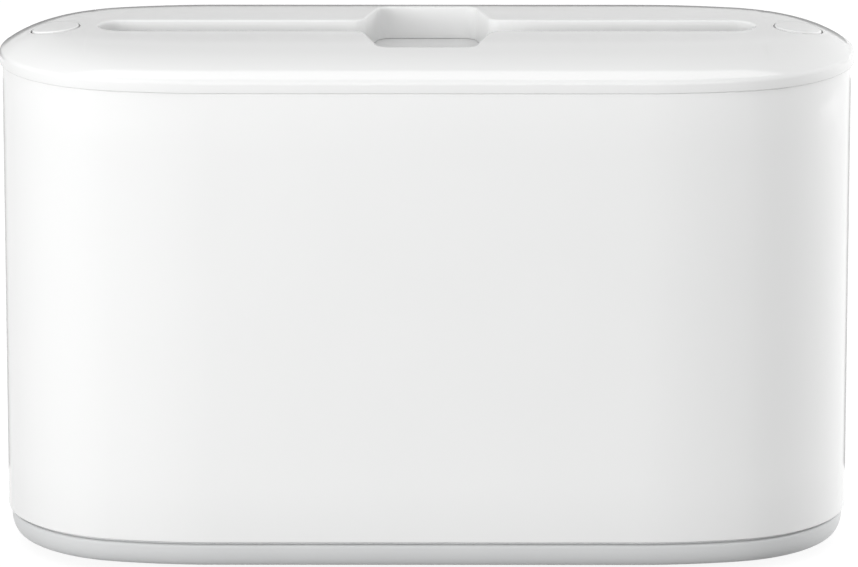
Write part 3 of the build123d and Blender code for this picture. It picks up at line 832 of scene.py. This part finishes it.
# %% Make the sockets and heels on the tray's floor
post_radius = 3.0
post_low, post_high = box_mm("guide_post_right")
post_centre = (post_low[:2] + post_high[:2]) / 2
socket_side, socket_height = 10.1, 5.5
bore_side = 6.1
heel_size, heel_height, heel_middle = (1.6, 44.0), 3.5, (133.9, 8.0)
root = 0.3

socket = all_round(rounded_rectangle(socket_side, socket_side, 0.8)[0])
bore = all_round(rounded_rectangle(bore_side, bore_side, bore_side / 2 - 0.001)[0])
socket_low, socket_top = tray_floor - 0.5, tray_floor + socket_height
rows = [(socket, socket_low), (socket, socket_top), (bore, socket_top), (bore, socket_low)]
rows = [stacked(plan, z) for plan, z in rows]
floor_fittings = moved([band(rows + rows[:1])], (*post_centre, 0.0))
heel = plate(rounded_rectangle(*heel_size, 0.4), tray_floor - root, tray_floor + heel_height)
floor_fittings += moved(heel, (*heel_middle, 0.0))
print(f"guide post at {post_centre.round(1).tolist()} mm")

# %% Make the clips that hold the end guides' feet
guide_low, _ = box_mm("end_guide_right")
guide_foot = 2.5
clip_play = 0.1
clip_y, clip_half = 20.0, 5.0
clip_wall, clip_tip, clip_reach = 1.6, 1.6, 1.2

clip_x = guide_low[0] - clip_play
clip_back = clip_x - clip_wall
catch_z = tray_floor + guide_foot + clip_play
clip_top = catch_z + clip_tip
clip = [(clip_x, tray_floor - root), (clip_x, catch_z), (clip_x + clip_reach, catch_z)]
clip += [(clip_x, clip_top), (clip_back, clip_top), (clip_back, tray_floor - root)]
clip = softened(clip, [0, 0.1, 0.3, 0.3, 0.3, 0])
for y in (-clip_y, clip_y):
    floor_fittings += extruded(clip, y - clip_half, y + clip_half)
floor_fittings += turned_half(floor_fittings)
piece("tray_fittings", floor_fittings, "housing", satin_grey, ["base_tray"])

# %% [markdown]
# ## The feet
# Four rubber pads lift the tray off the counter. Each is a disc whose edge is rounded
# where it meets the counter, with a groove in its sole for grip. A disc is a body of
# revolution: a profile of radius and height, turned about its middle.

# %% Make the feet
foot_x, foot_y = 100.0, 25.0
foot_radius = feet_high[0] - foot_x
foot_height = feet_high[2]
sole = [(0, 0.5), (4.6, 0.5), (4.9, 0.15), (5.4, 0), (foot_radius - 1.2, 0)]
edge = [(foot_radius - 0.55, 0.2), (foot_radius - 0.15, 0.6), (foot_radius, 1.2)]
foot_profile = sole + edge + [(foot_radius, foot_height + 0.2), (0, foot_height + 0.2)]
feet = []
for x in (-foot_x, foot_x):
    for y in (-foot_y, foot_y):
        feet += turned(foot_profile, (x, y))
piece("rubber_pads", feet, "housing", matt_rubber, ["rubber_feet"])

# %% [markdown]
# ## The push buttons
# A button is a small cup that stands under half a millimetre proud of the lid. Its top
# follows the dome around it, so it looks like a part of the lid until its round edge
# catches the light. Under the cup a blade reaches down to the spring strip, and two lugs
# stop the cup below its sleeve.

# %% Make the buttons' caps
button_proud = 0.39
button_travel = 4.0
lug_bottom = retainer_top + button_travel + 0.2
round_edge = 0.5
cup_wall = 1.6
cup_ceiling = 196.2
cup_spokes = directions(np.linspace(0, 2 * np.pi, 96, endpoint=False))


def cup_ring(radius, drop):
    """A ring of the button's top, at a drop below the dome's height plus what it stands
    proud."""
    plan = button_centre + radius * cup_spokes
    return stacked(plan, dome(*plan.T) + button_proud - drop)


cup_rows = [stacked(button_centre + button_radius * cup_spokes, lug_bottom)]
for turn in quarter_turn[::-1]:
    radius = button_radius - round_edge * (1 - np.sin(turn))
    cup_rows.append(cup_ring(radius, round_edge * (1 - np.cos(turn))))
cup_rows += [cup_ring(r, 0.0) for r in np.linspace(button_radius - round_edge, 0.6, 8)[1:]]
inside = button_centre + (button_radius - cup_wall) * cup_spokes
under_cup = [stacked(inside, z) for z in (lug_bottom, cup_ceiling)]
cup = [
    band(cup_rows),
    fan(cup_rows[-1], (*button_centre, dome(*button_centre) + button_proud)),
    band([under_cup[1], under_cup[0], cup_rows[0]]),
    filled(under_cup[1], False),
]
print(f"cap {2 * button_radius:.1f} mm wide, {button_proud} mm proud")

# %% Add the blade and the lugs, and make both buttons
blade_offset, blade_half, blade_slant = 1.8, (1.5, 2.5), 2.2
blade_low, blade_top = button_low[2], cup_ceiling + 0.8
lug_length, lug_width, lug_height = 4.0, 2.4, 1.5

outer = button_centre[0] + blade_offset + blade_half[0]
inner = outer - 2 * blade_half[0]
blade = [(outer, blade_low), (outer, blade_top), (inner, blade_top)]
blade = softened([*blade, (inner, blade_low + blade_slant)], [0.4, 0, 0, 0.4])
cup += extruded(blade, -blade_half[1], blade_half[1])
lug_curve = rounded_rectangle(lug_length, lug_width, 0.5)
lug = plate(lug_curve, lug_bottom, lug_bottom + lug_height, 0.2)
for side in (-1, 1):
    lug_y = side * (button_high[1] - lug_width / 2)
    cup += moved(lug, (*button_centre + [0, lug_y], 0.0))
for name, patches in (("right", cup), ("left", turned_half(cup))):
    body, nodes = f"button_{name}", [f"push_button_{name}"]
    piece(f"button_cap_{name}", patches, body, button_white, nodes)

# %% [markdown]
# ## The coil springs
# A coil spring is a tube whose middle line climbs as it turns. The first and last turns
# lie almost flat, so that the spring stands square, and the pitch grows between them. So
# the height is a running sum of the pitch, scaled to the sleeve that the solid is.

# %% Make the springs
def coil(centre, low, high, radius, wire, turns, sides=10, steps=30):
    """A coil spring: its middle line is (radius cos a, radius sin a, z), where z is the
    running sum of a pitch that is one wire at each end. The wire's circle lies in the
    outward direction and the one square to both it and the line."""
    share = np.linspace(0, 1, int(turns * steps) + 1)
    open_part = np.clip(np.minimum(share, 1 - share) * turns - 0.8, 0, 0.5) * 2
    pitch = np.cumsum(open_part**2 * (3 - 2 * open_part))
    closed_rise = 2 * wire * turns * share
    spare = high - low - 2 * wire - closed_rise[-1]
    climb = low + wire + closed_rise + spare * (pitch - pitch[0]) / (pitch[-1] - pitch[0])
    angle = 2 * np.pi * turns * share
    outward = stacked(directions(angle), 0.0)
    line = np.array([*centre, 0.0]) + radius * outward + np.outer(climb, [0, 0, 1])
    upward = np.cross(outward, unit(np.gradient(line, axis=0)))
    around = np.linspace(0, 2 * np.pi, sides, endpoint=False)
    across_wire = np.cos(around)[None, :, None] * outward[:, None]
    along_wire = np.sin(around)[None, :, None] * upward[:, None]
    rows = line[:, None] + wire * (across_wire - along_wire)
    return [band(rows), filled(rows[0], False), filled(rows[-1])]


platform_travel = 125.0
for name in ("right", "left"):
    node = f"lift_spring_{name}"
    low, high = box_mm(node)
    patches = coil((low[:2] + high[:2]) / 2, low[2], high[2], 6.0, 0.7, 10.5)
    spring = piece(f"lift_coil_{name}", patches, "housing", spring_steel, [node])
    keep = 1 - platform_travel / (high[2] - low[2])
    low[2] * mm
    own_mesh(spring)
    node = f"button_spring_{name}"
    low, high = box_mm(node)
    patches = coil((low[:2] + high[:2]) / 2, low[2], high[2], 5.3, 0.45, 6.5, 8, 24)
    spring = piece(f"button_coil_{name}", patches, "lid", spring_steel, [node])
    keep = 1 - button_travel / (high[2] - low[2])
    low[2] * mm
    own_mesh(spring)

# %% [markdown]
# ## The spring strips
# The lid is latched by a bent strip of spring steel at each end. Its foot stands in the
# end guide's pocket, its level nose reaches through the tongue's window, and above the
# nose it leans back as a ramp. A pressed button pushes ramp and nose inwards, out of
# the window, so the strip flattens towards its foot as the button goes down.

# %% Make the spring strips
def bent_strip(line, thickness, bend):
    """The outline of a strip that is bent along a line. Beside each corner it lies half a
    thickness times (n1 + n2) / (1 + n1 . n2) away, where n1 and n2 are the normals of the
    two runs that meet there. A bend is half a thickness tighter inside and wider outside."""
    line = np.asarray(line, float)
    normal = unit(np.diff(line, axis=0))[:, ::-1] * [1, -1]
    before, after = np.concatenate([normal[:1], normal]), np.concatenate([normal, normal[-1:]])
    beside = thickness / 2 * (before + after) / (1 + np.sum(before * after, axis=1, keepdims=True))
    turning = np.sign(before[:, 0] * after[:, 1] - before[:, 1] * after[:, 0])
    radii = [np.where(turning == 0, 0, bend + side * turning * thickness / 2) for side in (1, -1)]
    corners = np.concatenate([line + beside, (line - beside)[::-1]])
    return softened(corners, [*radii[0], *radii[1][::-1]])


strip_low, strip_high = box_mm("catch_strip_right")
strip_thickness = 0.8
strip_bend = 1.2
nose_reach, nose_play = 1.6, 0.6
ramp_inset, ramp_drop = 20.8, 7.2

strip_x = strip_low[0] + strip_thickness / 2
nose_x = tongue_x + tongue_half + nose_reach
nose_z = window_low + nose_play + strip_thickness / 2
strip_line = [(strip_x, strip_low[2]), (strip_x, nose_z), (nose_x, nose_z)]
strip_line += [(half_length - ramp_inset, seam - ramp_drop)]
strip = bent_strip(strip_line, strip_thickness, strip_bend)
leaf = extruded(strip, strip_low[1], strip_high[1])
for name, side, patches in (("right", 1, leaf), ("left", -1, turned_half(leaf))):
    nodes, anchor = [f"catch_strip_{name}"], (side * strip_low[0] * mm, 0, 0)
    spring = piece(f"catch_leaf_{name}", patches, "housing", spring_steel, nodes)
    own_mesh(spring)

# %% [markdown]
# ## The guide posts
# The platform slides on two ground steel rods. A rod is turned too, with a small chamfer
# at each end that helps it into its seats.

# %% Make the guide posts
chamfer = 0.5
steps = [(0, 0), (post_radius - chamfer, 0), (post_radius, chamfer)]
post_profile = [(r, post_low[2] + z) for r, z in steps]
post_profile += [(r, post_high[2] - z) for r, z in steps[::-1]]
for name, middle in (("right", post_centre), ("left", -post_centre)):
    post, nodes = turned(post_profile, tuple(middle)), [f"guide_post_{name}"]
    piece(f"guide_rod_{name}", post, "housing", drawn_steel, nodes)

# %% [markdown]
# ## Pieces that stay as the solids have them
# The platform, end guides, button retainers and bushes have their true shape in the
# solids already. They only need a finish.

# %% Give the carried-over solids their finishes
carried = {"lift_platform": inner_white}
for side in ("left", "right"):
    carried |= {f"end_guide_{side}": inner_white, f"button_retainer_{side}": inner_white}
    carried[f"platform_bush_{side}"] = waxy_acetal
for name, paint in carried.items():
    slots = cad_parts[name].data.materials
    slots.clear()
    slots.append(paint.material)
print("finished:", ", ".join(carried))

# %% [markdown]
# ## A world that looks white
# The photograph's background is pure white, but a world of that strength would wash out
# a white object. So rays from the camera, a mirror or glass see a strength of 1, which
# is white, and the rays that light the object see less.

# %% Make the world
scene = bpy.context.scene
scene.view_settings.view_transform = "Standard"
world_level = 0.71

world = bpy.data.worlds.new("white_studio")
scene.world = world
studio = NodeTree(world, "Background")
strengths = {"Value": studio.seen_directly(), "To Min": world_level, "To Max": 1.0}
studio.feed(Color=(1.0, 1.0, 1.0), Strength=studio.node("ShaderNodeMapRange", {}, strengths))
print(f"the world lights the object at {world_level}")

# %% [markdown]
# ## The floor
# The floor is a wide sheet of quiet grey, which throws little light back at the object.
# Only the camera and reflections see it glow: a glow is added to the grey, so it looks
# white and keeps the object's soft shadow.

# %% Make the floor
def flat_sheet(name, corners, paint):
    """A flat sheet of the studio between four corners in millimetres."""
    mesh = bpy.data.meshes.new(name)
    mesh.from_pydata((np.array(corners, float) * mm).tolist(), [], [[0, 1, 2, 3]])
    mesh.materials.append(paint.material)
    sheet = bpy.data.objects.new(name, mesh)
    scene.collection.objects.link(sheet)
    return sheet


def neutral(level):
    """A colour without a tint."""
    return (level, level, level)


glow = 0.89
floor_half = 6000.0
floor = Paint("pale_floor", Roughness=0.9, Specular_IOR_Level=0.1)
floor_tint = floor.between(neutral(0.15), neutral(0.17), floor.noise(400.0))
floor.feed(Base_Color=floor_tint)
glowing = {"Base Color": floor_tint, "Roughness": 0.9}
glowing.update({"Emission Color": (1.0, 1.0, 1.0, 1.0), "Emission Strength": glow})
finishes = {
    0: floor.seen_directly(),
    1: Reading(floor, floor.shader.outputs[0]),
    2: floor.node("ShaderNodeBsdfPrincipled", {}, glowing),
}
surface = floor.nodes["Material Output"].inputs["Surface"]
floor.plug(surface, floor.node("ShaderNodeMixShader", {}, finishes))
square = [(-1, -1, 0), (1, -1, 0), (1, 1, 0), (-1, 1, 0)]
flat_sheet("pale_floor", np.array(square) * floor_half, floor)
print(f"floor {2 * floor_half * mm:.0f} m wide")

# %% [markdown]
# ## The boards behind the object
# A glossy white object on white has no outline of its own. Where its surface turns away
# from the camera it mirrors what stands behind it, so boards draw its outline: a dark
# card the fine line along the back of the lid, a grey one the two upright edges, and
# a pale one tones the rest. The camera sees none of them.

# %% Set up the boards
boards = {
    "dark_card": ("dark_felt", 0.08, 0.10, 5.0, 300, (-420, 165, 235, -420), (125, 215)),
    "edge_card": ("edge_board", 0.56, 0.60, 50.0, 90, (-200, 200, 200, -200), (0, 160)),
    "back_board": ("grey_board", 0.88, 0.90, 50.0, 900, (-1500, 1500, 1500, -1500), (0, 480)),
}
for name, (material, dark, light, blotch, y, wide, (low, high)) in boards.items():
    paint = Paint(material, Roughness=1.0, Specular_IOR_Level=0.0)
    tint = paint.between(neutral(dark), neutral(light), paint.noise(blotch))
    paint.feed(Base_Color=tint)
    sheet = flat_sheet(name, [(x, y, z) for x, z in zip(wide, (low, low, high, high))], paint)
    sheet.visible_camera = sheet.visible_shadow = False
    sheet.visible_diffuse = name == "back_board"
    print(f"{name} stands {y} mm behind the middle")

# %% [markdown]
# ## The lamps
# Soft light comes from the front left and falls off slowly towards the right, where the
# end darkens and then lifts again at its edge. Large area lamps make such slow changes.
# The key and the rim lamp are kept out of reflections, where they would look like
# windows. The strip overhead is only mirrored, as the bright band along the lid.

# %% Set up the lamps
lamp_target = np.array([0.0, 0.0, 0.1])


def soft_panel(name, azimuth, elevation, distance, size, power):
    """An area lamp that faces the target from a distance in metres. Azimuth is counted
    from the front towards the right, and elevation up from the floor, in degrees."""
    lamp = bpy.data.lights.new(name, "AREA")
    lamp.shape = "RECTANGLE"
    lamp.size, lamp.size_y = size
    lamp.energy = power
    turn, rise = np.radians(azimuth), np.radians(elevation)
    level = np.cos(rise)
    towards = np.array([np.sin(turn) * level, -np.cos(turn) * level, np.sin(rise)])
    thing = bpy.data.objects.new(name, lamp)
    thing.location = lamp_target + distance * towards
    thing.rotation_euler = (np.pi / 2 - rise, 0.0, turn)
    scene.collection.objects.link(thing)
    return thing


key = soft_panel("key_left", -40, 9, 1.6, (1.0, 0.5), 16.0)
soft_panel("fill_front", 10, 9, 2.5, (1.6, 0.8), 7.0)
rim = soft_panel("rim_right", 108, 5, 1.2, (0.5, 0.36), 9.0)
key.visible_glossy = rim.visible_glossy = False
overhead = soft_panel("strip_above", 0, 97.5, 1.3, (1.4, 0.36), 3.3)
overhead.visible_camera = overhead.visible_diffuse = False
